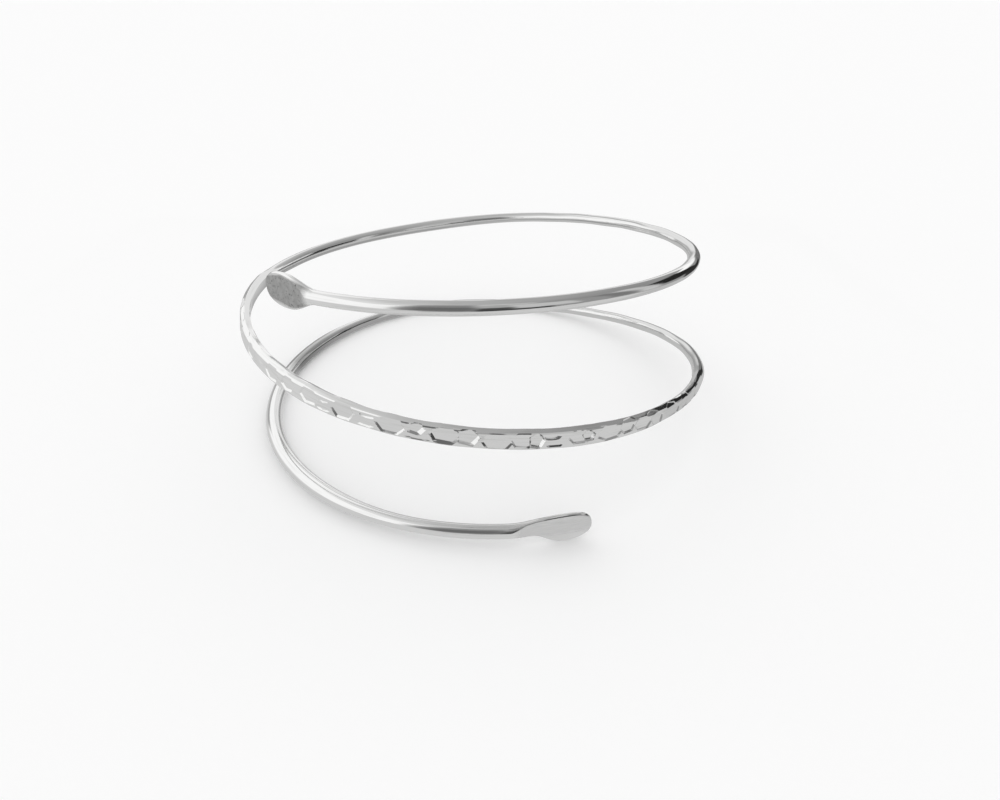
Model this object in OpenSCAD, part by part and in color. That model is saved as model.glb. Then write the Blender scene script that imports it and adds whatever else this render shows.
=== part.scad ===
// Spiral armlet: one forged silver-coloured wire wound a little over two turns, with a
// hammered stretch in the middle turn and a flat egg-shaped paddle at each free end.
// It stands as it rests by itself, with its lowest turn on the plane z = 0.

/* [Coil] */
// Mean reach of the wire's axis from the middle of the coil
coil_r = 41; // [36:0.5:46]
// Rise of the highest guide row over the turn that the armlet rests on
coil_rise = 34; // [28:0.5:40]
// Angle at which the upper free end starts, counted round the coil from +X
start_angle = 216; // [210:1:225]
// Angle at which the lower free end stops
end_angle = 1011; // [1005:1:1015]

/* [Wire] */
// Diameter of the round wire
wire_d = 2.1; // [1.8:0.1:2.4]

/* [Hammered band] */
// Angle at which the hammered stretch begins
band_from = 537; // [530:1:545]
// Angle at which the hammered stretch ends
band_to = 694; // [686:1:700]
// Width of the hammered stretch, measured up and down
band_w = 2.6; // [2.2:0.1:2.8]
// Thickness of the hammered stretch before its flats, measured outwards
band_t = 1.8; // [1.6:0.1:2]
// Lean of the hammered stretch, whose outer side looks up a little, in degrees
band_lean = 14; // [0:1:18]
// Depth of the broad flats in the outer face
face_depth = 0.1; // [0.04:0.02:0.2]

/* [Paddles] */
// Half width of the upper paddle, the same above and below the wire's axis
upper_paddle_half = 2.75; // [2.2:0.05:3.2]
// Length of the upper paddle, from its tip to the round wire
upper_paddle_l = 13.2; // [11:0.1:14]
// Half width of the lower paddle above the wire's axis
lower_paddle_rise = 2.35; // [1.8:0.05:2.6]
// Half width of the lower paddle below the wire's axis, which it rests on
lower_paddle_drop = 2.55; // [2:0.05:2.7]
// Length of the lower paddle along its upper edge, from its tip to the round wire
lower_paddle_l = 12.5; // [10:0.1:13]
// The same along its lower edge, which turns in to the wire sooner
lower_heel_l = 8.8; // [7.5:0.1:10]
// Distance from a tip to the paddle's widest place
upper_nose_l = 6; // [5:0.1:7]
lower_nose_l = 4; // [3:0.1:5]
// Half thickness of the wire where it draws in before the lower paddle
lower_neck = 0.9; // [0.8:0.05:1.05]
// Thickness of both paddles
paddle_t = 0.9; // [0.7:0.1:1.4]
// Outward lean of the lower paddle's upper edge, in degrees
lower_lean = 3; // [0:1:8]

/* [Hidden] */

// Corners of the wire's section, and the degrees from ring to ring along it
sides = 16;
plain_step = 5;
paddle_step = 1.5;
band_step = 1.25;
// Angle that a paddle takes up with its neck, and the rings on its rounded tip
paddle_angle = 20;
nose_rings = 5;
// Squareness of a paddle's nose, and how slowly its back starts to draw in
nose_power = 2.4;
back_power = 1.2;
// A paddle is flat as far as this share of its length, and round again at the next one
flat_until = 0.6;
round_from = 1;
// The lower paddle sits this much lower than the wire's axis
lower_set = 0.1;
// Squareness of a section: 2 is round, and more comes nearer to a rounded box
wire_power = 2;
band_power = 3.6;
paddle_power = 3.4;
// Distance from the wire's axis to the broad flats and to the small flats above and below
// them, which take off the edges
face_left = band_t / 2 - face_depth;
edge_left = 1.2;
// How far each row of small flats is turned about the wire, away from the broad flats
low_roll = -54;
high_roll = 48;
// Angle over which the wire swells into the hammered stretch
band_blend = 9;
// Angle that a flat can reach along the wire to each side of its middle
flat_reach = 8;

// Guide rows of the winding, one each 60 degrees; a smooth curve follows them.
// Columns: angle, way out from the mean reach, rise over the resting turn
GUIDE = [
    [180, 0, 28],
    [240, -2, 33.5],
    [300, -4, 34],
    [360, -3.5, 29],
    [420, -1.5, 24],
    [480, -1, 19.5],
    [540, 1.5, 21.5],
    [600, 1, 18],
    [660, 0.5, 14],
    [720, -0.5, 8],
    [780, -1, -0.8],
    [840, -1.5, 0.4],
    [900, -2.5, 0],
    [960, 1, 0],
    [1020, 4, 2.5],
    [1080, 9.5, 0.5]
];
guide_step = 60;
rise_scale = coil_rise / 34;
// The winding's box is brought over the origin, and the guide's small dip onto z = 0
centre_shift = [0.6, 2];
dip = 0.03;

// Middles of the broad flats, struck one after the other round the coil
FACES = [
    541, 546.5, 552, 557.5, 562.5, 568, 573, 578.5, 584, 589.5, 594.7, 603.6, 613.8, 623.9,
    631, 638.6, 648.9, 654.8, 659.8, 664.4, 669.2, 675.2, 681, 686.5
];

// Smooth blend through four guide values, for a share f of the way from b to c
function blend(a, b, c, d, f) =
    (pow(1 - f, 3) * a + (3 * pow(f, 3) - 6 * f * f + 4) * b
    + (3 * f * f - 3 * pow(f, 3) + 3 * f + 1) * c + pow(f, 3) * d) / 6;

// The guide's value in one column at any angle
function guide_at(angle, column) =
    let (
        place = (angle - GUIDE[0][0]) / guide_step,
        i = max(1, min(len(GUIDE) - 3, floor(place)))
    )
    blend(
        GUIDE[i - 1][column], GUIDE[i][column],
        GUIDE[i + 1][column], GUIDE[i + 2][column], place - i
    );

function reach(angle) = coil_r + guide_at(angle, 1);

// The wire's axis, with the resting turn one wire radius above the plane z = 0
function axis_point(angle) = [
    reach(angle) * cos(angle) + centre_shift[0],
    reach(angle) * sin(angle) + centre_shift[1],
    wire_d / 2 + dip + rise_scale * guide_at(angle, 2)
];

// The three directions at a place on the wire: along it, out from the coil, and up
function unit(v) = v / norm(v);
function heading(angle) = unit(axis_point(angle + 0.5) - axis_point(angle - 0.5));
function outward(angle) =
    let (along = heading(angle), away = [cos(angle), sin(angle), 0])
    unit(away - (away * along) * along);
function upward(angle) = cross(outward(angle), heading(angle));

// Rises smoothly from 0 to 1 as the share goes from 0 to 1
function ease(share) =
    let (s = max(0, min(1, share)))
    s * s * (3 - 2 * s);

// Length of wire between two angles
function wire_length(from, to) = (to - from) * PI / 180 * reach((from + to) / 2);

// 1 inside the hammered stretch, 0 on the plain wire
function in_band(angle) =
    min(
        ease((angle - band_from + band_blend) / band_blend),
        ease((band_to + band_blend - angle) / band_blend)
    );

// Half width of an egg-shaped paddle at a distance from its tip, full as far as its widest
// place and then drawn in to the neck
function egg_half(from_tip, half, nose, length, neck) =
    from_tip < nose
        ? half * pow(max(0, 1 - pow(1 - from_tip / nose, nose_power)), 1 / nose_power)
        : let (back = pow(min(1, (from_tip - nose) / (length - nose)), back_power))
            neck + (half - neck) / 2 * (1 + cos(180 * back));

// 1 on the flat face of a paddle, 0 where the wire is round again
function on_paddle(from_tip, length) =
    ease((round_from * length - from_tip) / ((round_from - flat_until) * length));

// Half thickness of the wire behind the lower paddle, which grows back to the full wire
function lower_neck_at(from_tip) =
    lower_neck + (wire_d / 2 - lower_neck) * ease((from_tip - 8) / (lower_paddle_l - 8));

// Half width above and below the axis, half thickness, squareness, lean and drop at an angle
function section(angle) =
    let (
        from_start = wire_length(start_angle, angle),
        from_end = wire_length(angle, end_angle),
        upper = from_start < from_end,
        from_tip = upper ? from_start : from_end,
        neck = upper ? wire_d / 2 : lower_neck_at(from_tip),
        above = upper
            ? egg_half(from_tip, upper_paddle_half, upper_nose_l, upper_paddle_l, neck)
            : egg_half(from_tip, lower_paddle_rise, lower_nose_l, lower_paddle_l, neck),
        below = upper
            ? above
            : egg_half(from_tip, lower_paddle_drop, lower_nose_l, lower_heel_l, neck),
        flat = on_paddle(from_tip, upper ? upper_paddle_l : lower_paddle_l),
        band = in_band(angle)
    )
    [
        above + band * (band_w - wire_d) / 2,
        below + band * (band_w - wire_d) / 2,
        neck + flat * (paddle_t / 2 - neck) + band * (band_t - wire_d) / 2,
        wire_power + flat * (paddle_power - wire_power) + band * (band_power - wire_power),
        (upper ? 0 : flat * lower_lean) - band * band_lean,
        upper ? 0 : flat * lower_set
    ];

// Every flat of the hammered stretch: angle, turn about the wire, distance left to its axis
FLATS = concat(
    [for (f = FACES) [f, 0, face_left]],
    [for (k = [1:len(FACES) - 1]) [(FACES[k - 1] + FACES[k]) / 2, low_roll, edge_left]],
    [for (k = [1:len(FACES) - 1]) [(FACES[k - 1] + FACES[k]) / 2, high_roll, edge_left]]
);

// Distance from the axis to a flat's plane, which the curve of the coil carries outwards
function flat_left(flat, angle) =
    flat[2] + pow(wire_length(flat[0], angle), 2) / (2 * coil_r) * cos(flat[1]);

// Draws a point of the section in to the planes of the flats near it
function struck(p, angle) =
    let (
        size = norm(p),
        cuts = [
            for (flat = FLATS)
                if (abs(flat[0] - angle) < flat_reach)
                    let (towards = p * [cos(flat[1]), sin(flat[1])])
                    if (towards > 0) flat_left(flat, angle) * size / towards
        ]
    )
    p / size * min(concat([size], cuts));

// One corner of the section, counted from the outward side upwards
function corner(angle, k) =
    let (
        s = section(angle),
        turn = 360 * k / sides,
        power = 2 / s[3],
        half = sin(turn) > 0 ? s[0] : s[1],
        p = [
            s[2] * sign(cos(turn)) * pow(abs(cos(turn)), power),
            half * sign(sin(turn)) * pow(abs(sin(turn)), power)
        ],
        q = angle > band_from && angle < band_to ? struck(p, angle) : p,
        lean = s[4]
    )
    axis_point(angle)
        + outward(angle) * (q[0] * cos(lean) + q[1] * sin(lean))
        + upward(angle) * (q[1] * cos(lean) - q[0] * sin(lean) - s[5]);

// Angles of the rings: close together on the rounded tips and along the hammered stretch
upper_nose = upper_nose_l / wire_length(start_angle, start_angle + 1);
lower_nose = lower_nose_l / wire_length(end_angle - 1, end_angle);
function nose_angle(k) = 1 - cos(90 * (k + 0.5) / nose_rings);
RINGS = concat(
    [for (k = [0:nose_rings - 1]) start_angle + upper_nose * nose_angle(k)],
    [for (a = [start_angle + upper_nose + paddle_step:paddle_step:start_angle + paddle_angle]) a],
    [for (a = [start_angle + paddle_angle + plain_step / 2:plain_step:band_from - paddle_step]) a],
    [for (a = [band_from:band_step:band_to]) a],
    [for (a = [band_to + plain_step / 2:plain_step:end_angle - paddle_angle]) a],
    [for (a = [end_angle - paddle_angle + paddle_step:paddle_step:end_angle - lower_nose]) a],
    [for (k = [nose_rings - 1:-1:0]) end_angle - lower_nose * nose_angle(k)]
);

module armlet() {
    last = len(RINGS) - 1;
    points = [for (a = RINGS) for (k = [0:sides - 1]) corner(a, k)];
    walls = [
        for (i = [0:last - 1]) for (k = [0:sides - 1])
            let (n = (k + 1) % sides, a = i * sides, b = (i + 1) * sides)
            each [[a + k, b + n, b + k], [a + k, a + n, b + n]]
    ];
    caps = [
        for (k = [1:sides - 2])
            each [[0, k + 1, k], [last * sides, last * sides + k, last * sides + k + 1]]
    ];
    color("silver")
        polyhedron(points = points, faces = concat(walls, caps), convexity = 10);
}

armlet();
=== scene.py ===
import math
import bmesh
import bpy
from mathutils import Matrix, Vector


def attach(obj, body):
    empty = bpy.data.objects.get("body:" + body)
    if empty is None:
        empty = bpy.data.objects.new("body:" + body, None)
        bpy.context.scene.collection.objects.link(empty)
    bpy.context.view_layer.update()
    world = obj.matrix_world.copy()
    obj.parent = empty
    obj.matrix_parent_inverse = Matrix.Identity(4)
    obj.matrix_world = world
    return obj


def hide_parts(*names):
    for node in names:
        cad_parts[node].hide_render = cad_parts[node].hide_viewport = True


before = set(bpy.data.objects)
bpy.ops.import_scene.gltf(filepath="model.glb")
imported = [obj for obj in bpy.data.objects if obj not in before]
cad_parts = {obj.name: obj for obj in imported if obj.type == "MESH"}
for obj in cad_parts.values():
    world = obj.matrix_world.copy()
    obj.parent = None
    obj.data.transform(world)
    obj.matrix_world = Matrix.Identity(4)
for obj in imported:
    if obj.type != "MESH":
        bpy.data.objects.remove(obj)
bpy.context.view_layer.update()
bpy.ops.object.select_all(action="DESELECT")


# The drawn wire
# The armlet is one length of silver-plated brass wire, drawn round and cut to length. It is
# worked as a straight bar here and wound afterwards, so the bar lies along X from the upper
# tip to the lower tip, with its outer side towards -Y.
mm = 0.001
wire_r = 1.05 * mm
wire_sides = 40
upper_tip = 1.2 * mm
coil_r = 41 * mm
start_angle = 216
end_angle = 1011
centre_shift = Vector((0.6, 2.0, 0.0)) * mm

# Raises the whole course a little, so that its lowest place just touches the table
course_lift = 0.03 * mm

# Guide rows of the winding, one each 60 degrees. Columns: way out from the coil's mean reach,
# and rise of the wire's underside over the table, in millimetres
guide_start = 180
guide_step = 60
guide = [
    (0, 28),
    (-2, 33.5),
    (-4, 34),
    (-3.5, 29),
    (-1.5, 24),
    (-1, 19.5),
    (1.5, 21.5),
    (1, 18),
    (0.5, 14),
    (-0.5, 8),
    (-1, -0.8),
    (-1.5, 0.4),
    (-2.5, 0),
    (1, 0),
    (4, 2.5),
    (9.5, 0.5),
]


def guide_at(angle, column):
    """One column of the guide at any angle, blended smoothly from the four nearest rows."""
    place = (angle - guide_start) / guide_step
    row = max(1, min(len(guide) - 3, math.floor(place)))
    f = place - row
    a, b, c, d = (guide[k][column] for k in range(row - 1, row + 3))
    blend = (1 - f) ** 3 * a + (3 * f**3 - 6 * f**2 + 4) * b
    blend += (3 * f**2 - 3 * f**3 + 3 * f + 1) * c + f**3 * d
    return blend / 6 * mm


def axis_point(angle):
    """The middle of the wound wire at an angle of the winding."""
    turn = math.radians(angle)
    reach = coil_r + guide_at(angle, 0)
    rise = wire_r + course_lift + guide_at(angle, 1)
    return centre_shift + Vector((reach * math.cos(turn), reach * math.sin(turn), rise))


wire_places = [0.0]
for angle in range(start_angle, end_angle):
    step = axis_point(angle + 1) - axis_point(angle)
    wire_places.append(wire_places[-1] + step.length)
wire_length = wire_places[-1]

bpy.ops.mesh.primitive_cylinder_add(
    vertices=wire_sides,
    radius=wire_r,
    depth=wire_length - upper_tip,
    location=((wire_length + upper_tip) / 2, 0, 0),
    rotation=(0, math.radians(90), 0),
)
armlet = bpy.context.object
armlet.name = "armlet_wire"
bpy.ops.object.transform_apply(location=True, rotation=True, scale=True)


# The marked-out lengths
# The straight wire is marked off where each kind of work begins and ends, and then marked more
# closely where it is to be beaten: at both ends and along the middle.
same_place = 0.005 * mm
cut_merge = 0.0001 * mm
upper_length = 13.2 * mm
lower_length = 12.5 * mm
tip_zone = 1 * mm
upper_thick_from = 435
lower_thick_from = 845
band_blend = 6 * mm


def place_at(angle):
    """How far along the straight wire an angle of the winding lies."""
    whole = min(int(angle - start_angle), len(wire_places) - 2)
    part = angle - start_angle - whole
    return wire_places[whole] + part * (wire_places[whole + 1] - wire_places[whole])


def select_where(kind, chosen):
    """Selects what is chosen of the armlet's mesh: its parts of kind VERT, EDGE or FACE."""
    bpy.ops.mesh.select_mode(type=kind)
    bpy.ops.mesh.select_all(action="DESELECT")
    mesh = bmesh.from_edit_mesh(armlet.data)
    parts = {"VERT": mesh.verts, "EDGE": mesh.edges, "FACE": mesh.faces}[kind]
    for part in parts:
        if not part.hide and chosen(part):
            part.select_set(True)
    bmesh.update_edit_mesh(armlet.data)


def add_rings(from_x, to_x, cuts):
    """Cuts every edge that runs along the wire between two places into cuts + 1 parts."""

    def runs_along(edge):
        ends = sorted(v.co.x for v in edge.verts)
        inside = ends[0] > from_x - same_place and ends[1] < to_x + same_place
        return inside and ends[1] - ends[0] > same_place

    select_where("EDGE", runs_along)
    bpy.ops.mesh.subdivide(number_cuts=cuts)


band_start = place_at(537)
band_end = place_at(694)
band_from = band_start - band_blend
band_to = band_end + band_blend
lower_start = wire_length - lower_length
length_ends = [
    upper_tip + tip_zone,
    upper_length,
    place_at(upper_thick_from),
    band_from,
    band_to,
    place_at(lower_thick_from),
    lower_start,
    wire_length - tip_zone,
]
bpy.ops.object.mode_set(mode="EDIT")
for x in length_ends:
    bpy.ops.mesh.select_all(action="SELECT")
    bpy.ops.mesh.bisect(plane_co=(x, 0, 0), plane_no=(1, 0, 0), threshold=cut_merge)
add_rings(upper_tip, upper_tip + tip_zone, 11)
add_rings(wire_length - tip_zone, wire_length, 11)
add_rings(upper_tip + tip_zone, upper_length, 44)
add_rings(lower_start, wire_length - tip_zone, 42)
add_rings(band_from, band_to, 124)


# The paddles
# Each free end is beaten out on a flat stake into a flat egg, with its edge left rounded. The
# wire draws in a little before the lower one, which also leans and gets a flat outer face.
upper_half = 2.75 * mm
upper_widest = 5.2 * mm
lower_half_above = 2.35 * mm
lower_half_below = 2.55 * mm
lower_widest = 4 * mm
lower_below_length = 8.8 * mm
lower_drop = 0.1 * mm
lower_neck = 0.9 * mm
lower_lean = 3
nose_fullness = 2.4
waist_sharpness = 1.2
paddle_edge = 0.95 * mm
paddle_back = 0.55 * mm
paddle_face = 0.35 * mm
tip_round = 0.9 * mm
smallest = 0.02 * wire_r

# Distances from the tip between which each kind of beating fades in or out
thin_fade = (12 * mm, 6 * mm)
upper_back_fade = (6.8 * mm, 11.8 * mm)
lower_neck_fade = (8 * mm, lower_length)
lower_lean_fade = (11 * mm, 5.5 * mm)
lower_back_fade = (7 * mm, 11 * mm)
lower_face_fade = (9 * mm, 12 * mm)


def ease(value, start, end):
    """0 as far as start, 1 from end on, and smooth between them."""
    share = max(0.0, min(1.0, (value - start) / (end - start)))
    return share * share * (3 - 2 * share)


def between(first, second, share):
    """The value that lies a share of the way from the first to the second."""
    return first + share * (second - first)


def ring_places(from_x, to_x):
    """Where along the bar its rings lie between two places."""
    mesh = bmesh.from_edit_mesh(armlet.data)
    places = []
    for x in sorted(v.co.x for v in mesh.verts):
        if from_x - same_place < x < to_x + same_place:
            if not places or x - places[-1] > same_place:
                places.append(x)
    return places


def turn_ring(x, degrees):
    """Turns the selected ring about the bar's axis."""
    turn = math.radians(degrees)
    bpy.ops.transform.rotate(value=turn, orient_axis="X", center_override=(x, 0, 0))


def shape_ring(x, thick, wide, rise=0.0):
    """Brings one ring of the bar to a half thickness and half width, and raises it."""
    select_where("VERT", lambda v: abs(v.co.x - x) < same_place)
    bpy.ops.transform.resize(value=(1, thick / wire_r, wide / wire_r), center_override=(x, 0, 0))
    bpy.ops.transform.translate(value=(0, 0, rise))


def press_flat(through, facing, along, chosen):
    """Presses the chosen vertices that stand above a plane straight down onto it."""
    select_where("VERT", lambda v: chosen(v) and (v.co - through).dot(facing) > 0)
    level = (along - along.dot(facing) * facing).normalized()
    bpy.ops.transform.resize(
        value=(1, 1, 0),
        orient_type="GLOBAL",
        orient_matrix=Matrix((level, facing.cross(level), facing)).transposed(),
        orient_matrix_type="GLOBAL",
        constraint_axis=(False, False, True),
        center_override=through,
    )


def flatten_ring(x, roll, reach):
    """Presses a ring flat on the side that faces roll degrees up from the outward one."""
    turn = math.radians(roll)
    facing = Vector((0, -math.cos(turn), math.sin(turn)))
    along = Vector((1, 0, 0))
    press_flat(x * along + reach * facing, facing, along, lambda v: abs(v.co.x - x) < same_place)


def egg_half(from_tip, half, widest, length, neck):
    """Half width of a paddle: a full nose as far as its widest place, then drawn in."""
    if from_tip < widest:
        return half * max(0.0, 1 - (1 - from_tip / widest) ** nose_fullness) ** (1 / nose_fullness)
    back = min(1.0, (from_tip - widest) / (length - widest)) ** waist_sharpness
    return neck + (half - neck) / 2 * (1 + math.cos(math.pi * back))


def paddle_thickness(from_tip, neck):
    """Half thickness of a paddle: thinner than the neck, and rounded off at the tip itself."""
    edge = math.sqrt(max(0.0, 1 - max(0.0, 1 - from_tip / tip_round) ** 2))
    return between(neck, min(paddle_edge, neck), ease(from_tip, *thin_fade)) * edge


for x in ring_places(upper_tip, upper_length):
    from_tip = x - upper_tip
    wide = egg_half(from_tip, upper_half, upper_widest, upper_length - upper_tip, wire_r)
    shape_ring(x, max(paddle_thickness(from_tip, wire_r), smallest), max(wide, smallest))
    flatten_ring(x, 180, between(paddle_back, wire_r, ease(from_tip, *upper_back_fade)))
for x in ring_places(lower_start, wire_length):
    from_tip = wire_length - x
    neck = between(lower_neck, wire_r, ease(from_tip, *lower_neck_fade))
    above = egg_half(from_tip, lower_half_above, lower_widest, lower_length, neck)
    below = egg_half(from_tip, lower_half_below, lower_widest, lower_below_length, neck)
    thick = max(paddle_thickness(from_tip, neck), smallest)
    leaning = ease(from_tip, *lower_lean_fade)
    shape_ring(x, thick, max((above + below) / 2, smallest), (above - below) / 2 - lower_drop * leaning)
    turn_ring(x, -lower_lean * leaning)
    flatten_ring(x, 180, between(paddle_back, neck, ease(from_tip, *lower_back_fade)))
    flatten_ring(x, -lower_lean, between(paddle_face, neck, ease(from_tip, *lower_face_fade)))


# The hammered stretch
# The middle of the wire is first hammered out into a flat-sided bar that leans back a little,
# narrower towards the right, and it swells where the deep blows will fall.
band_wide = 1.75 * mm
band_thick = 1.5 * mm
band_lean = 8
band_face = 0.75 * mm
band_swell = 0.1 * mm
swell_reach = 1.8 * mm
deep_blows = [584, 594.5, 603.5, 613.5, 624, 638.5, 649, 655, 660, 664.5, 669, 675]
left_size = 1.07
front_size = 1
right_size = 0.9

# Angles between which the section shrinks to the front's size, and then to the right end's, and
# between which its lower side draws in
front_fade = (597, 611)
right_fade = (650, 664)
lower_side_fade = (662, 674)

# The taps that facet the upper edge: how deep they go in millimetres, over and over
tap_depths = [0.05, 0.02, 0.07, 0.03, 0.06]
tap_count = 30
first_tap = 535
tap_step = 5.6
upper_roll = 62

# Sides of the bar's section: roll up from the outward side in degrees, distance from the wire's
# axis, share of the swell, share of the taps, and how much lower the side gets at the right end
band_sides = [
    (54, 1.35 * mm, 0.5, 1, 0),
    (27, 1.09 * mm, 0.4, 0, 0),
    (120, 1.28 * mm, 1, 0, 0),
    (-57, 1.34 * mm, 0.5, 0, 0.25 * mm),
    (-125, 1.2 * mm, 0, 0, 0),
    (180, 0.8 * mm, 0, 0, 0),
    (0, band_face, 0, 0, 0),
]


def band_size(angle):
    """How large the section is: full at the left, smaller where the stretch ends on the right."""
    size = between(left_size, front_size, ease(angle, *front_fade))
    return between(size, right_size, ease(angle, *right_fade))


def upper_taps(x):
    """How much deeper the taps along the upper edge press: each leaves a flat across the bend."""
    bulge = math.cos(math.radians(upper_roll)) / (2 * coil_r)
    pressed = [0.0]
    for k in range(tap_count):
        away = x - place_at(first_tap + tap_step * k)
        pressed.append(away**2 * bulge - tap_depths[k % len(tap_depths)] * mm)
    return min(pressed)


def angle_at(x):
    """The last whole angle of the winding that lies before a place along the straight wire."""
    return start_angle + max(k for k, place in enumerate(wire_places) if place <= x)


for x in ring_places(band_from, band_to):
    share = min(ease(x, band_from, band_start), ease(x, band_to, band_end))
    size = band_size(angle_at(x))
    near_blows = sum(math.exp(-(((x - place_at(blow)) / swell_reach) ** 2)) for blow in deep_blows)
    swell = band_swell * min(1.0, near_blows)
    tap = upper_taps(x)
    at_right = ease(angle_at(x), *lower_side_fade)
    shape_ring(x, between(wire_r, band_thick, share), between(wire_r, band_wide, share))
    for roll, reach, swells, tapped, lower in band_sides:
        reach = reach * size + swells * swell + tapped * tap - lower * at_right
        flatten_ring(x, roll, between(wire_r, reach, share))
    select_where("VERT", lambda v: abs(v.co.x - x) < same_place)
    turn_ring(x, band_lean * share)


# The plain wire
# The wire wasn't drawn to one size: where it comes down to the hammered stretch, and along the
# left of the lowest turn, it is thicker. There it is also raised or lowered a little.
# Columns: angles between which it swells and shrinks again, half thickness, half width, rise
thick_parts = [
    (upper_thick_from, 470, 520, 532, 1.22 * mm, 1.22 * mm, -0.22 * mm),
    (lower_thick_from, 875, 950, 978, 1.4 * mm, 1.2 * mm, 0.12 * mm),
]
add_rings(upper_length, place_at(upper_thick_from), 144)
add_rings(place_at(upper_thick_from), band_from, 58)
add_rings(band_to, place_at(lower_thick_from), 110)
add_rings(place_at(lower_thick_from), lower_start, 84)
for *angles, thick, wide, rise in thick_parts:
    begin, full, less, finish = (place_at(angle) for angle in angles)
    for x in ring_places(begin, finish):
        share = min(ease(x, begin, full), ease(x, finish, less))
        shape_ring(x, between(wire_r, thick, share), between(wire_r, wide, share), share * rise)

# It wasn't wound quite evenly either. Columns: angles, and how much the wire swells and sways
uneven_parts = [
    (236, 316, 0.006, 0.008 * mm),
    (318, 432, 0.025, 0.03 * mm),
    (700, 800, 0.025, 0.03 * mm),
]
uneven_blend = 5 * mm
swell_wave = 8.5 * mm
sway_wave = 13 * mm
for from_angle, to_angle, swells, sways in uneven_parts:
    begin = place_at(from_angle)
    finish = place_at(to_angle)
    for x in ring_places(begin, finish):
        share = ease(x, begin, begin + uneven_blend) * ease(x, finish, finish - uneven_blend)
        swell = share * swells * math.sin(2 * math.pi * x / swell_wave)
        sway = share * sways * math.sin(2 * math.pi * x / sway_wave)
        shape_ring(x, wire_r * (1 + swell), wire_r * (1 - swell), sway)
bpy.ops.object.mode_set(mode="OBJECT")


# The winding
# The bar is wound round a mandrel into an open spiral of about two and a quarter turns, which
# stays springy. Here it is bent along a curve through the guide rows.
route = bpy.data.curves.new("winding_route", "CURVE")
route.dimensions = "3D"
route.twist_mode = "Z_UP"
spline = route.splines.new("POLY")
spline.points.add(end_angle - start_angle)
for i, point in enumerate(spline.points):
    point.co = (*axis_point(start_angle + i), 1)
winding = bpy.data.objects.new("winding", route)
bpy.context.scene.collection.objects.link(winding)
bend = armlet.modifiers.new("winding", "CURVE")
bend.object = winding
bend.deform_axis = "POS_X"
bpy.ops.object.modifier_apply(modifier="winding")
bpy.data.objects.remove(winding)
for face in armlet.data.polygons:
    face.use_smooth = True


# The face of the upper paddle
# After the winding, a last blow with a planishing hammer leaves a flat oval face inside the
# paddle's rounded edge. The lower paddle got its face on the straight wire.
face_angle = 222.5
face_reach = 13 * mm
face_height = 6 * mm


def directions_at(angle):
    """Directions along the wire, out of the coil, and up, square to each other."""
    along = (axis_point(angle + 0.5) - axis_point(angle - 0.5)).normalized()
    turn = math.radians(angle)
    away = Vector((math.cos(turn), math.sin(turn), 0))
    outward = (away - away.dot(along) * along).normalized()
    return along, outward, outward.cross(along)


def is_on_paddle(face):
    """True for a face near the middle of the upper paddle, and not on the turn below it."""
    away = face.calc_center_median() - axis_point(face_angle)
    return away.length < face_reach and abs(away.z) < face_height


bpy.ops.object.mode_set(mode="EDIT")
select_where("FACE", is_on_paddle)
outward = directions_at(face_angle)[1]
bpy.ops.mesh.bisect(
    plane_co=axis_point(face_angle) + paddle_face * outward,
    plane_no=outward,
    use_fill=True,
    clear_outer=True,
    threshold=cut_merge,
)
bpy.ops.mesh.mark_sharp()


# The hammer marks
# The outer side of the middle turn is struck all over with a narrow flat-faced hammer. Each
# blow sinks a flat with sloped walls, and a wall is wider where the hammer's heel struck. Two
# rows of lighter blows fall on the upper edge.

# A blow works on the faces that face the hammer, as far as this beyond its flat in millimetres
patch_margin = 1.2
patch_facing = 0.2

# Share of a wall's width that counts as its very edge
hair = 0.001

# Each kind of blow: its roll up from the outward side in degrees, how far from the wire's axis
# the bar's surface lies there, and how wide the walls are in millimetres
outer_blow = (6, band_face, 0.3)
upper_blow = (upper_roll, 1.35 * mm, 0.14)


def mark_sides(half_length, half_height, corners, turn):
    """Where each side of a mark starts, and which way is out of it."""
    spots = []
    for k in range(corners + 1):
        corner = math.radians(360 * k / corners + turn)
        spots.append(Vector((half_length * math.cos(corner), half_height * math.sin(corner))) * mm)
    sides = []
    for start, end in zip(spots, spots[1:]):
        sides.append((start, Vector((end.y - start.y, start.x - end.x)).normalized()))
    return sides


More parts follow.
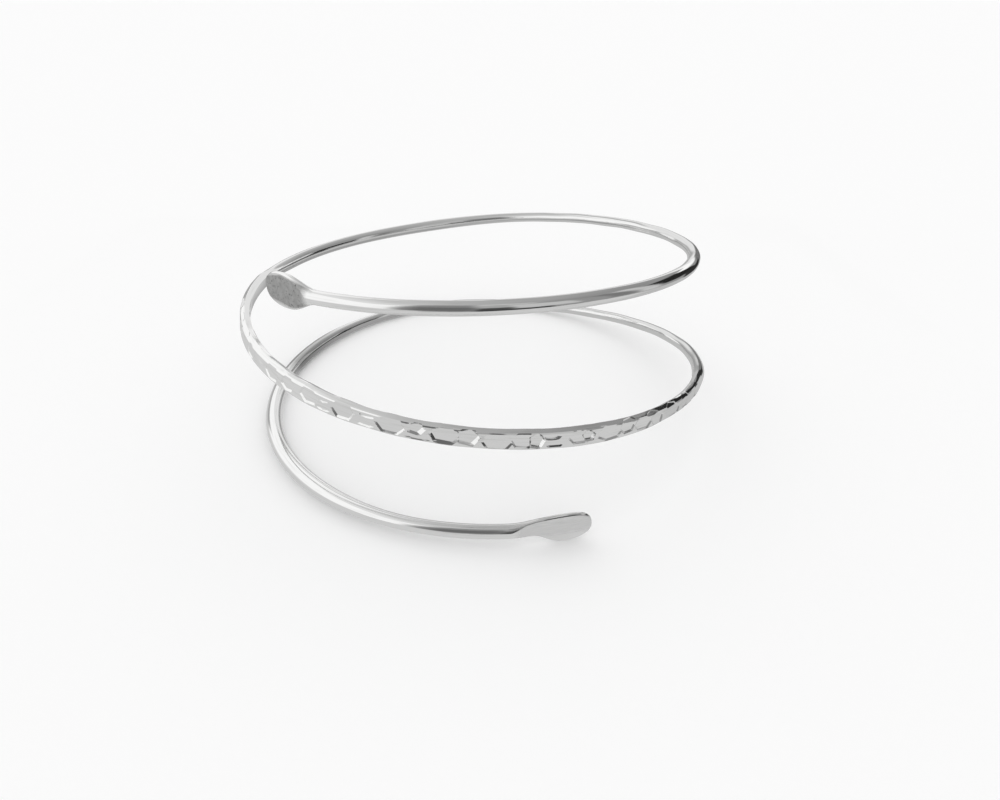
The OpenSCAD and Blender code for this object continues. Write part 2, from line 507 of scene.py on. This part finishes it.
def strike(blow, angle, rise, half_length, half_height, corners, turn, depth, heel_turn=0, heel=0.0):
    """Sinks one flat with the given number of corners; sizes in millimetres, turns in degrees."""
    roll, surface, wall_wide = blow
    wire_along, outward, upward = directions_at(angle)
    facing = outward * math.cos(math.radians(roll)) + upward * math.sin(math.radians(roll))
    facing.normalize()
    along = (wire_along - wire_along.dot(facing) * facing).normalized()
    across = facing.cross(along)
    middle = axis_point(angle) + rise * mm * across + surface * band_size(angle) * facing
    heel_side = Vector((math.cos(math.radians(heel_turn)), math.sin(math.radians(heel_turn))))
    walls = []
    for start, out in mark_sides(half_length, half_height, corners, turn):
        wall = wall_wide + heel * max(0.0, out.dot(heel_side)) ** 3
        walls.append((start, out, wall * mm))

    def is_near(face):
        away = face.calc_center_median() - middle
        is_close = away.length < (half_length + patch_margin) * mm
        return is_close and face.normal.dot(facing) > patch_facing

    def part_under(point):
        """The number of the wall that lies over a point, or flat, or outside."""
        spot = Vector(((point - middle).dot(along), (point - middle).dot(across)))
        shares = [(start - spot).dot(out) / wall for start, out, wall in walls]
        least = min(shares)
        if least < hair:
            return "outside"
        return "flat" if least > 1 - hair else shares.index(least)

    select_where("FACE", is_near)
    bpy.ops.mesh.hide(unselected=True)
    for inset in (0, 1):
        for start, out, wall in walls:
            place = start - inset * wall * out
            bpy.ops.mesh.select_all(action="SELECT")
            bpy.ops.mesh.bisect(
                plane_co=middle + place.x * along + place.y * across,
                plane_no=out.x * along + out.y * across,
                threshold=cut_merge,
            )
    press_flat(middle - depth * mm * facing, facing, along, lambda v: part_under(v.co) == "flat")
    for number, (start, out, wall) in enumerate(walls):
        top = middle + start.x * along + start.y * across
        slope = wall * facing - depth * mm * (out.x * along + out.y * across)
        press_flat(top, slope.normalized(), along, lambda v: part_under(v.co) == number)
    bpy.ops.mesh.reveal(select=False)


# Small blows, then the full ones over them. Columns: angle, rise, half length, half height,
# corners, turn, depth, and for some the side where the heel struck and how much wider its wall is
small_marks = [
    (544, 0.3, 1.4, 0.7, 5, 20, 0.05),
    (549, -0.5, 1.5, 0.5, 6, 0, 0.06),
    (555, 0.5, 1.3, 0.5, 5, 50, 0.07),
    (561, -0.5, 1.5, 0.5, 6, 10, 0.06),
    (568, 0.5, 1.4, 0.5, 5, 30, 0.07),
    (574, -0.5, 1.6, 0.5, 6, 0, 0.06),
    (579, 0.4, 1.4, 0.6, 5, 20, 0.07),
    (599, -0.6, 1.5, 0.45, 6, 0, 0.06),
    (599, 0.6, 1.2, 0.5, 5, 40, 0.08),
    (608.5, -0.6, 1.7, 0.5, 5, 0, 0.06),
    (608.5, 0.7, 1.5, 0.5, 6, 20, 0.1),
    (618.7, -0.8, 2.0, 0.5, 6, 10, 0.06),
    (618.2, 0.5, 1.5, 1.1, 5, 6, 0.26, -35, 0.3),
    (627.8, 0.3, 1.9, 1.45, 5, 6, 0.34, -35, 0.15),
    (643.5, 0.6, 1.6, 0.6, 6, 0, 0.1),
    (644, -0.6, 1.6, 0.5, 5, 20, 0.06),
]
full_marks = [
    (541, 0.1, 2.1, 1.2, 6, 10, 0.12),
    (552, 0.1, 2.0, 1.3, 6, 0, 0.12),
    (562.5, 0.1, 2.1, 1.35, 7, 10, 0.12),
    (573, 0.1, 1.9, 1.35, 6, -10, 0.12),
    (583.5, 0.15, 2.1, 1.45, 6, 10, 0.14),
    (589, 0.2, 1.7, 1.25, 7, 0, 0.16),
    (595.2, 0.25, 2.0, 1.4, 6, 10, 0.16),
    (603.4, 0.2, 2.1, 1.45, 6, 5, 0.16),
    (613.3, 0.15, 2.4, 1.4, 6, 0, 0.17),
    (623.6, 0.1, 2.3, 1.5, 6, -6, 0.16, -105, 0.3),
    (633.2, -0.3, 2.2, 1.6, 6, 0, 0.14),
    (638.0, 0.15, 2.0, 1.35, 6, -4, 0.1),
    (640.6, 0.0, 1.3, 1.35, 5, 6, 0.42),
    (649.3, 0.2, 2.1, 1.2, 6, 0, 0.14),
    (651.2, 0.15, 1.2, 1.0, 5, 20, 0.44),
    (656, 0.1, 2.4, 1.3, 7, 0, 0.15),
    (660.3, 0.3, 1.6, 1.1, 6, 10, 0.15),
    (664.8, 0.1, 2.1, 1.15, 6, 0, 0.15),
    (669.2, 0.1, 1.7, 1.2, 5, 20, 0.16),
    (675.2, 0.1, 2.4, 1.15, 6, 10, 0.15),
    (681, 0.1, 1.6, 1.1, 5, 0, 0.16),
    (686.5, 0.1, 1.9, 1.1, 6, 10, 0.12),
]
for mark in small_marks + full_marks:
    strike(outer_blow, *mark)

# The rows on the upper edge: long shallow marks at the left, notches at the right end
left_row = 6
left_row_from = 538
left_row_step = 7.4
right_row = 4
right_row_from = 661
right_row_step = 6.8
for k in range(left_row):
    half_height = 0.55 + 0.05 * (k % 2)
    strike(upper_blow, left_row_from + left_row_step * k, 0.4, 2.0, half_height, 6, 14 * (k % 3), 0.09)
for k in range(right_row):
    strike(upper_blow, right_row_from + right_row_step * k, 0.1, 1.5, 0.75, 5, 14 * k, 0.16)

# The creases that catch the light as lines: on the hammered stretch and on the lower paddle,
# which lies a whole turn further on
crease_turn = math.radians(14)
crease_angles = (528, 703)
crease_height = 3 * mm
lower_crease_angles = (640, 655)
lower_crease_height = 6 * mm


def is_crease(edge):
    if len(edge.link_faces) < 2 or edge.calc_face_angle() < crease_turn:
        return False
    away = edge.verts[0].co - centre_shift
    angle = math.degrees(math.atan2(away.y, away.x)) % 360 + 360
    if lower_crease_angles[0] < angle < lower_crease_angles[1] and away.z < lower_crease_height:
        return True
    beside = abs(away.z - axis_point(angle).z) < crease_height
    return crease_angles[0] < angle < crease_angles[1] and beside


select_where("EDGE", is_crease)
bpy.ops.mesh.mark_sharp()
bpy.ops.object.mode_set(mode="OBJECT")


# The finish
# The brass is plated in bright silver and polished along the wire. That leaves fine lines that
# run with it, and a softer shine where it is handled.
bright_silver = (0.9, 0.9, 0.895)
lined_silver = (0.82, 0.82, 0.81)
dull_silver = (0.46, 0.46, 0.455)
mottled_silver = (0.37, 0.37, 0.365)
pit_grey = (0.12, 0.12, 0.12)
satin_silver = (0.86, 0.86, 0.855)
grained_silver = (0.76, 0.76, 0.755)
# This grey is painted shade, for the back left of the lowest turn
painted_shade_silver = (0.5, 0.5, 0.495)
line_depth = 0.007 * mm
polish_share = 0.25
pit_share = 1.5
dull_roughness = 0.3
satin_roughness = 0.22

# The map runs with the wire: one unit is a metre along it, or a whole turn around it. A corner
# of a tip may lie a few degrees past the end of the winding
past_tip = 8
wire_uv = armlet.data.uv_layers[0]
wire_uv.name = "wire_map"
spots = []
for vertex in armlet.data.vertices:
    away = vertex.co - centre_shift
    first = math.degrees(math.atan2(away.y, away.x)) % 360
    turns = [first, first + 360, first + 720]
    turns = [angle for angle in turns if start_angle - past_tip < angle < end_angle + past_tip]
    angle = min(turns, key=lambda a: abs(axis_point(a).z - away.z))
    angle = max(start_angle, min(end_angle, angle))
    outward, upward = directions_at(angle)[1:]
    side = vertex.co - axis_point(angle)
    around = math.atan2(side.dot(upward), side.dot(outward)) / (2 * math.pi)
    spots.append((place_at(angle), around))
for face in armlet.data.polygons:
    first = spots[face.vertices[0]][1]
    for loop in face.loop_indices:
        x, around = spots[armlet.data.loops[loop].vertex_index]
        wire_uv.uv[loop].vector = (x, around - round(around - first))

silver = bpy.data.materials.new("silver_wire")
silver.use_nodes = True
plate = silver.node_tree
shader = plate.nodes["Principled BSDF"]
shader.inputs["Metallic"].default_value = 1


def add_node(tree, kind, **settings):
    node = tree.nodes.new(kind)
    for name, value in settings.items():
        setattr(node, name, value)
    return node


wire_map = add_node(plate, "ShaderNodeUVMap", uv_map="wire_map")
map_axes = add_node(plate, "ShaderNodeSeparateXYZ")
plate.links.new(wire_map.outputs["UV"], map_axes.inputs["Vector"])
map_along = map_axes.outputs["X"]
map_around = map_axes.outputs["Y"]


def noise(along, around, detail, roughness=0.5):
    """Noise that follows the map, with so many grains to a metre along and a turn around."""
    mapping = add_node(plate, "ShaderNodeMapping")
    mapping.inputs["Scale"].default_value = (along, around, 1)
    plate.links.new(wire_map.outputs["UV"], mapping.inputs["Vector"])
    grain = add_node(plate, "ShaderNodeTexNoise")
    grain.inputs["Scale"].default_value = 1
    grain.inputs["Detail"].default_value = detail
    grain.inputs["Roughness"].default_value = roughness
    plate.links.new(mapping.outputs["Vector"], grain.inputs["Vector"])
    return grain.outputs["Fac"]


def spread(tree, value, low, high, to_low, to_high, **settings):
    """Brings the part of a value between low and high to new limits."""
    fit = add_node(tree, "ShaderNodeMapRange", **settings)
    tree.links.new(value, fit.inputs["Value"])
    limits = {"From Min": low, "From Max": high, "To Min": to_low, "To Max": to_high}
    for name, number in limits.items():
        fit.inputs[name].default_value = number
    return fit.outputs["Result"]


def combine(tree, operation, first, second=0):
    """One step of arithmetic on two values, each a number or a socket."""
    node = add_node(tree, "ShaderNodeMath", operation=operation)
    for socket, value in zip(node.inputs, (first, second)):
        if isinstance(value, (int, float)):
            socket.default_value = value
        else:
            tree.links.new(value, socket)
    return node.outputs["Value"]


def blend_colours(tree, factor, first, second):
    """Mixes two colours, each a tuple or a socket."""
    mix = add_node(tree, "ShaderNodeMix", data_type="RGBA")
    tree.links.new(factor, mix.inputs["Factor"])
    for name, value in (("A", first), ("B", second)):
        if isinstance(value, tuple):
            mix.inputs[name].default_value = (*value, 1)
        else:
            tree.links.new(value, mix.inputs[name])
    return mix.outputs["Result"]


drawn_lines = noise(along=140, around=22, detail=3)
polish_lines = noise(along=500, around=90, detail=2)
handling = noise(along=60, around=2, detail=4)
lines_seen = spread(plate, drawn_lines, 0.5, 0.75, 0, 1)
fine_lines = combine(plate, "MULTIPLY", polish_lines, polish_share)
heights = combine(plate, "ADD", drawn_lines, fine_lines)
colour = blend_colours(plate, lines_seen, bright_silver, lined_silver)
roughness = spread(plate, handling, 0.3, 0.7, 0.05, 0.14)

# The flat faces of the paddles aren't polished. They reach about a fifth of a turn each way
# from the outward side, and along the wire as far as the necks
face_sides = (0.205, 0.225)
upper_face_end = (10.8 * mm, 12.2 * mm)
lower_face_start = (wire_length - 11.5 * mm, wire_length - 10.5 * mm)
on_face = spread(plate, combine(plate, "ABSOLUTE", map_around), *face_sides, 1, 0)
before_upper_neck = spread(plate, map_along, *upper_face_end, 1, 0)
past_lower_neck = spread(plate, map_along, *lower_face_start, 0, 1)
on_upper = combine(plate, "MULTIPLY", on_face, before_upper_neck)
on_lower = combine(plate, "MULTIPLY", on_face, past_lower_neck)

# The upper one is mottled, pitted and dull
pits = spread(plate, noise(along=2600, around=26, detail=3, roughness=0.6), 0.56, 0.68, 0, 1)
mottle = spread(plate, noise(along=900, around=9, detail=2), 0.35, 0.65, 0, 1)
dull = blend_colours(plate, mottle, dull_silver, mottled_silver)
dull = blend_colours(plate, pits, dull, pit_grey)
colour = blend_colours(plate, on_upper, colour, dull)
pits_sunk = combine(plate, "MULTIPLY", combine(plate, "MULTIPLY", pits, on_upper), pit_share)
heights = combine(plate, "SUBTRACT", heights, pits_sunk)
rougher = combine(plate, "MULTIPLY", on_upper, dull_roughness)
roughness = combine(plate, "ADD", roughness, rougher)

# Painted shade: the back left of the lowest turn is painted greyer, as if it lay in shadow
painted_shade_from = spread(plate, map_along, place_at(860), place_at(886), 0, 1)
painted_shade_to = spread(plate, map_along, place_at(890), place_at(898), 1, 0)
painted_shade = combine(plate, "MULTIPLY", painted_shade_from, painted_shade_to)
colour = blend_colours(plate, painted_shade, colour, painted_shade_silver)

# The lower face has a fine satin grain
grain_seen = spread(plate, polish_lines, 0.35, 0.65, 0, 1)
satin = blend_colours(plate, grain_seen, satin_silver, grained_silver)
colour = blend_colours(plate, on_lower, colour, satin)
rougher = combine(plate, "MULTIPLY", on_lower, satin_roughness)
roughness = combine(plate, "ADD", roughness, rougher)

relief = add_node(plate, "ShaderNodeBump")
relief.inputs["Strength"].default_value = 1
relief.inputs["Distance"].default_value = line_depth
plate.links.new(heights, relief.inputs["Height"])
plate.links.new(relief.outputs["Normal"], shader.inputs["Normal"])
plate.links.new(colour, shader.inputs["Base Color"])
plate.links.new(roughness, shader.inputs["Roughness"])
armlet.data.materials.append(silver)
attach(armlet, "root")
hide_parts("armlet")


# The camera
# It stands in front of the armlet, very close, and looks down on it by 25 degrees, as in the
# photograph.
view_target = Vector((0.6, 2.0, 15.71)) * mm
view_distance = 131.2 * mm
view_rise = math.radians(24.88)
camera_data = bpy.data.cameras.new("camera")
camera = bpy.data.objects.new("camera", camera_data)
bpy.context.scene.collection.objects.link(camera)
camera.location = view_target + view_distance * Vector((0, -math.cos(view_rise), math.sin(view_rise)))
camera.rotation_euler = (math.radians(90) - view_rise, 0, 0)
camera_data.lens = 24.67
camera_data.sensor_width = 36
camera_data.shift_x = 0.0203
camera_data.shift_y = -0.0832
camera_data.clip_start = 10 * mm
bpy.context.scene.camera = camera
bpy.context.scene.view_settings.view_transform = "Standard"


# The floor and the sky
# The armlet lies on a wide table covered with white paper. An even white sky over it gives a
# soft light without hard shadows.
floor_size = 60
bpy.ops.mesh.primitive_plane_add(size=floor_size)
floor = bpy.context.object
floor.name = "floor"
paper = bpy.data.materials.new("paper")
paper.use_nodes = True
paper_shader = paper.node_tree.nodes["Principled BSDF"]
paper_shader.inputs["Base Color"].default_value = (0.97, 0.97, 0.97, 1)
paper_shader.inputs["Roughness"].default_value = 0.9
paper_shader.inputs["Specular IOR Level"].default_value = 0.1
floor.data.materials.append(paper)
world = bpy.data.worlds.new("sky")
bpy.context.scene.world = world
world.use_nodes = True
world.node_tree.nodes["Background"].inputs["Color"].default_value = (1, 1, 1, 1)


# The tent
# Polished metal mirrors what stands round it, so the tent's walls glow with painted light and
# shade: bright cloth on the left and behind, dimmer cloth in front, and dark cloth on the right
# with lit places in it. Only the mirror finish sees them.
tent_box = ((-120, 110), (-117, 120), (0.02, 160))

# The walls' first tone, from left to right. Columns: share of the way, tone
wall_stops = [(0, 0.78), (0.26, 0.6), (0.45, 0.47), (0.8, 0.36), (1, 0.3)]
bpy.ops.mesh.primitive_cube_add(size=1, location=[sum(span) / 2 * mm for span in tent_box])
tent = bpy.context.object
tent.name = "tent"
tent.scale = [(high - low) * mm for low, high in tent_box]
bpy.ops.object.transform_apply(location=True, rotation=True, scale=True)
tent.visible_camera = False
tent.visible_shadow = False
tent.visible_diffuse = False
cloth = bpy.data.materials.new("tent_cloth")
cloth.use_nodes = True
cloth.cycles.emission_sampling = "NONE"
tent_tree = cloth.node_tree
tent_tree.nodes.remove(tent_tree.nodes["Principled BSDF"])
glow = add_node(tent_tree, "ShaderNodeEmission")
tent_tree.links.new(glow.outputs["Emission"], tent_tree.nodes["Material Output"].inputs["Surface"])
position = add_node(tent_tree, "ShaderNodeTexCoord")
axes = add_node(tent_tree, "ShaderNodeSeparateXYZ")
tent_tree.links.new(position.outputs["Object"], axes.inputs["Vector"])
ramp = add_node(tent_tree, "ShaderNodeValToRGB")
left, right = tent_box[0]
across = spread(tent_tree, axes.outputs["X"], left * mm, right * mm, 0, 1)
tent_tree.links.new(across, ramp.inputs["Fac"])
stops = ramp.color_ramp.elements
for share, tone in wall_stops[1:-1]:
    stops.new(share)
for stop, (share, tone) in zip(stops, wall_stops):
    stop.color = (tone, tone, tone, 1)


def span_mask(axis, low, high, soft):
    """1 between two places along an axis, in millimetres, falling softly to 0 outside them."""
    middle = (low + high) / 2
    near = (high - middle - soft) * mm
    far = (high - middle + soft) * mm
    away = combine(tent_tree, "SUBTRACT", axes.outputs[axis], middle * mm)
    away = combine(tent_tree, "ABSOLUTE", away)
    return spread(tent_tree, away, near, far, 1, 0, interpolation_type="SMOOTHSTEP")


def patch(under, spans, soft, tone):
    """Lays a soft-edged patch of one tone over the walls that lie within a box."""
    mask = None
    for axis, span in zip("XYZ", spans):
        if span:
            part = span_mask(axis, *span, soft)
            mask = combine(tent_tree, "MULTIPLY", mask, part) if mask else part
    return blend_colours(tent_tree, mask, under, (tone, tone, tone))


# Each patch: spans along X, Y and Z in millimetres, softness of its edge, tone
patches = [
    ((None, None, (-10, 2)), 1, 0.64),
    (((-25, 120), (-28, 130), (-10, 2)), 10, 0.48),
    # Painted shadow: a darker place on the tent floor under the armlet stands in for the wire's own
    # shadow on the table, which the glowing floor can't show
    (((-46, 2), (6, 44), (-10, 2)), 6, 0.28),
    (((-130, -58), (-50, 0), (-10, 2)), 8, 0.7),
    (((-37, 120), (-130, -98), (-10, 2)), 4, 0.15),
    (((-70, 0), (74, 130), (-10, 2)), 6, 0.25),
    (((-130, -112), None, (14, 130)), 8, 1.02),
    (((-130, -112), (50, 130), (-10, 42)), 8, 0.42),
    (((-130, -76), (-130, -108), (2, 130)), 6, 1.0),
    (((-66, 2), (-130, -98), (6, 175)), 8, 0.25),
    (((-50, 4), (-130, -112), (12, 90)), 8, 0.14),
    (((34, 120), (-130, -112), (32, 130)), 6, 0.56),
    (((4, 34), (-130, -112), (-2, 60)), 6, 0.07),
    (((4, 76), (-130, -104), (-10, 26)), 4, 0.06),
    (((5, 70), (-130, -90), (150, 170)), 8, 0.58),
    (((100, 120), (-70, -44), (20, 120)), 6, 0.2),
    (((100, 120), (-38, -14), (8, 110)), 6, 0.58),
    (((100, 120), (-12, 62), (26, 80)), 5, 0.02),
    (((100, 120), (28, 130), (-10, 34)), 4, 0.03),
    (((-130, -62), (110, 130), (44, 170)), 8, 1.0),
    (((-130, -62), (110, 130), (-10, 32)), 8, 0.38),
    (((-62, 90), (110, 130), (34, 96)), 8, 0.82),
    (((-20, 40), (110, 130), (-10, 20)), 6, 0.35),
    (((-64, -22), (110, 130), (-10, 34)), 5, 0.95),
    (((85, 120), (95, 130), (-10, 50)), 5, 0.18),
    (((80, 120), (60, 130), (55, 78)), 4, 1.05),
    (((-130, -50), (70, 130), (150, 170)), 12, 0.95),
]
wall_tone = ramp.outputs["Color"]
for spans, soft, tone in patches:
    wall_tone = patch(wall_tone, spans, soft, tone)
tent_tree.links.new(wall_tone, glow.inputs["Color"])
tent.data.materials.append(cloth)
